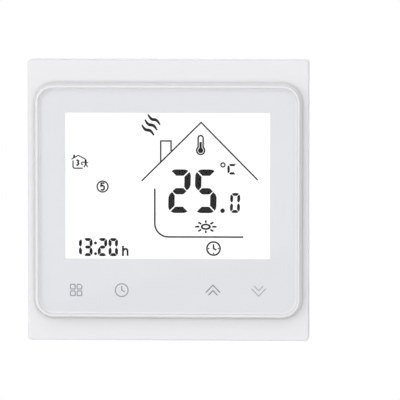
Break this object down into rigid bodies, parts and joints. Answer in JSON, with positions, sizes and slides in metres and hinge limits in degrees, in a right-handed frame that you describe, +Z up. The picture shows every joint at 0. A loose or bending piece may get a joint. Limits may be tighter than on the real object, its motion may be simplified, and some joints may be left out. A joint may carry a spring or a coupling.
{
  "type": "wall thermostat",
  "caption": "Square flush-mounted room thermostat with a raised touch lens over a display, a pull-off front, and a rear box with relay and clamp terminals.",
  "frame": {"origin": "on the wall surface, midway between the two mounting screws", "axes": "+Z up, +X to the right as seen from the room, the screen looks along -Y and the rear box reaches into the wall along +Y"},
  "size_m": [0.09, 0.0426, 0.09],
  "materials": {
    "clear_acrylic": "clear polished acrylic",
    "printed_film": "pale cool grey screen print",
    "foam_tape": "white double-sided foam tape",
    "white_gloss_abs": "white polished moulded ABS",
    "white_matt_abs": "white fine-textured moulded ABS",
    "display_glass": "thin display glass",
    "polariser_film": "clear polarising film",
    "tinned_steel": "tinned spring steel",
    "light_guide": "milky acrylic light guide",
    "white_tray": "white reflective tray",
    "lamp_phosphor": "yellow phosphor resin",
    "circuit_board": "green solder resist on glass epoxy",
    "conductive_foam": "carbon-loaded conductive foam",
    "chip_resin": "black moulding resin",
    "black_plastic": "black moulded nylon",
    "nickel_steel": "nickel-plated steel",
    "bead_glass": "amber glass bead",
    "gilt_pins": "gold-flashed brass",
    "zinc_screw": "bright zinc-plated steel",
    "zinc_machine_screw": "bright zinc-plated steel",
    "zinc_cage": "zinc-plated pressed steel",
    "relay_case": "blue moulded polyester",
    "copper_winding": "enamelled copper wire",
    "contact_brass": "stamped brass",
    "ferrite": "sintered ferrite",
    "winding_tape": "yellow polyester tape",
    "capacitor_sleeve": "aluminium can in a dark sleeve",
    "capacitor_case": "yellow moulded case",
    "blue_epoxy": "blue epoxy coating",
    "fuse_case": "brown moulded case",
    "terminal_nylon": "black moulded nylon"
  },
  "bodies": {
    "base": {"base_plate": "white_matt_abs", "rear_box": "white_matt_abs", "box_screws": "zinc_screw", "power_board": "circuit_board", "socket_body": "black_plastic", "socket_contacts": "gilt_pins", "relay_base": "black_plastic", "relay_cover": "relay_case", "relay_coil": "copper_winding", "relay_core_yoke": "nickel_steel", "relay_fixed_contacts": "contact_brass", "transformer_core": "ferrite", "transformer_winding": "winding_tape", "mains_capacitor": "capacitor_sleeve", "x_capacitor": "capacitor_case", "varistor": "blue_epoxy", "fuse": "fuse_case", "power_ic": "chip_resin", "rectifier": "chip_resin", "terminal_housing": "terminal_nylon", "terminal_bars": "contact_brass"},
    "front": {"touch_lens": "clear_acrylic", "lens_print_film": "printed_film", "lens_tape": "foam_tape", "front_housing": "white_gloss_abs", "outer_frame": "white_gloss_abs", "lcd_front_glass": "display_glass", "lcd_rear_glass": "display_glass", "lcd_polarisers": "polariser_film", "lcd_pins": "tinned_steel", "backlight_diffuser": "light_guide", "backlight_frame": "white_tray", "backlight_leds": "lamp_phosphor", "control_board": "circuit_board", "touch_posts": "conductive_foam", "microcontroller": "chip_resin", "touch_controller": "chip_resin", "clock_crystal": "tinned_steel", "buzzer": "black_plastic", "backup_battery": "nickel_steel", "battery_holder": "black_plastic", "room_sensor": "bead_glass", "pin_header_body": "black_plastic", "pin_header_pins": "gilt_pins", "board_screws": "zinc_screw"},
    "relay_armature": {"relay_armature": "nickel_steel"},
    "terminal_screw_1": {"terminal_screw_1": "zinc_screw"},
    "terminal_cage_1": {"terminal_cage_1": "zinc_cage"},
    "terminal_screw_2": {"terminal_screw_2": "zinc_screw"},
    "terminal_cage_2": {"terminal_cage_2": "zinc_cage"},
    "terminal_screw_3": {"terminal_screw_3": "zinc_screw"},
    "terminal_cage_3": {"terminal_cage_3": "zinc_cage"},
    "terminal_screw_4": {"terminal_screw_4": "zinc_screw"},
    "terminal_cage_4": {"terminal_cage_4": "zinc_cage"},
    "terminal_screw_5": {"terminal_screw_5": "zinc_screw"},
    "terminal_cage_5": {"terminal_cage_5": "zinc_cage"},
    "terminal_screw_6": {"terminal_screw_6": "zinc_screw"},
    "terminal_cage_6": {"terminal_cage_6": "zinc_cage"},
    "mounting_screw_left": {"mounting_screw_left": "zinc_machine_screw"},
    "mounting_screw_right": {"mounting_screw_right": "zinc_machine_screw"}
  },
  "joints": [
    {"name": "front_pull", "type": "slide", "parent": "base", "child": "front", "axis": [0, -1, 0], "range_m": [0, 0.03]},
    {"name": "relay_switch", "type": "hinge", "parent": "base", "child": "relay_armature", "pos_m": [-0.007, 0.01815, -0.0009], "axis": [0, 0, 1], "range_deg": [0, 3.3], "stiffness_Nm_per_rad": 0.01, "springref_deg": -8.59},
    {"name": "terminal_screw_1_turn", "type": "hinge", "parent": "base", "child": "terminal_screw_1", "pos_m": [-0.01875, 0.0166, -0.01985], "axis": [0, -1, 0], "range_deg": [0, 1800]},
    {"name": "terminal_cage_1_rise", "type": "slide", "parent": "base", "child": "terminal_cage_1", "axis": [0, 1, 0], "range_m": [0, 0.0025]},
    {"name": "terminal_screw_2_turn", "type": "hinge", "parent": "base", "child": "terminal_screw_2", "pos_m": [-0.01125, 0.0166, -0.01985], "axis": [0, -1, 0], "range_deg": [0, 1800]},
    {"name": "terminal_cage_2_rise", "type": "slide", "parent": "base", "child": "terminal_cage_2", "axis": [0, 1, 0], "range_m": [0, 0.0025]},
    {"name": "terminal_screw_3_turn", "type": "hinge", "parent": "base", "child": "terminal_screw_3", "pos_m": [-0.00375, 0.0166, -0.01985], "axis": [0, -1, 0], "range_deg": [0, 1800]},
    {"name": "terminal_cage_3_rise", "type": "slide", "parent": "base", "child": "terminal_cage_3", "axis": [0, 1, 0], "range_m": [0, 0.0025]},
    {"name": "terminal_screw_4_turn", "type": "hinge", "parent": "base", "child": "terminal_screw_4", "pos_m": [0.00375, 0.0166, -0.01985], "axis": [0, -1, 0], "range_deg": [0, 1800]},
    {"name": "terminal_cage_4_rise", "type": "slide", "parent": "base", "child": "terminal_cage_4", "axis": [0, 1, 0], "range_m": [0, 0.0025]},
    {"name": "terminal_screw_5_turn", "type": "hinge", "parent": "base", "child": "terminal_screw_5", "pos_m": [0.01125, 0.0166, -0.01985], "axis": [0, -1, 0], "range_deg": [0, 1800]},
    {"name": "terminal_cage_5_rise", "type": "slide", "parent": "base", "child": "terminal_cage_5", "axis": [0, 1, 0], "range_m": [0, 0.0025]},
    {"name": "terminal_screw_6_turn", "type": "hinge", "parent": "base", "child": "terminal_screw_6", "pos_m": [0.01875, 0.0166, -0.01985], "axis": [0, -1, 0], "range_deg": [0, 1800]},
    {"name": "terminal_cage_6_rise", "type": "slide", "parent": "base", "child": "terminal_cage_6", "axis": [0, 1, 0], "range_m": [0, 0.0025]},
    {"name": "mounting_screw_left_turn", "type": "hinge", "parent": "base", "child": "mounting_screw_left", "pos_m": [-0.03, 0, 0], "axis": [0, -1, 0], "continuous": true},
    {"name": "mounting_screw_right_turn", "type": "hinge", "parent": "base", "child": "mounting_screw_right", "pos_m": [0.03, 0, 0], "axis": [0, -1, 0], "continuous": true}
  ],
  "couplings": [
    {"joint": "terminal_screw_1_turn", "follows": "terminal_cage_1_rise", "rad_per_m": 12566},
    {"joint": "terminal_screw_2_turn", "follows": "terminal_cage_2_rise", "rad_per_m": 12566},
    {"joint": "terminal_screw_3_turn", "follows": "terminal_cage_3_rise", "rad_per_m": 12566},
    {"joint": "terminal_screw_4_turn", "follows": "terminal_cage_4_rise", "rad_per_m": 12566},
    {"joint": "terminal_screw_5_turn", "follows": "terminal_cage_5_rise", "rad_per_m": 12566},
    {"joint": "terminal_screw_6_turn", "follows": "terminal_cage_6_rise", "rad_per_m": 12566}
  ]
}
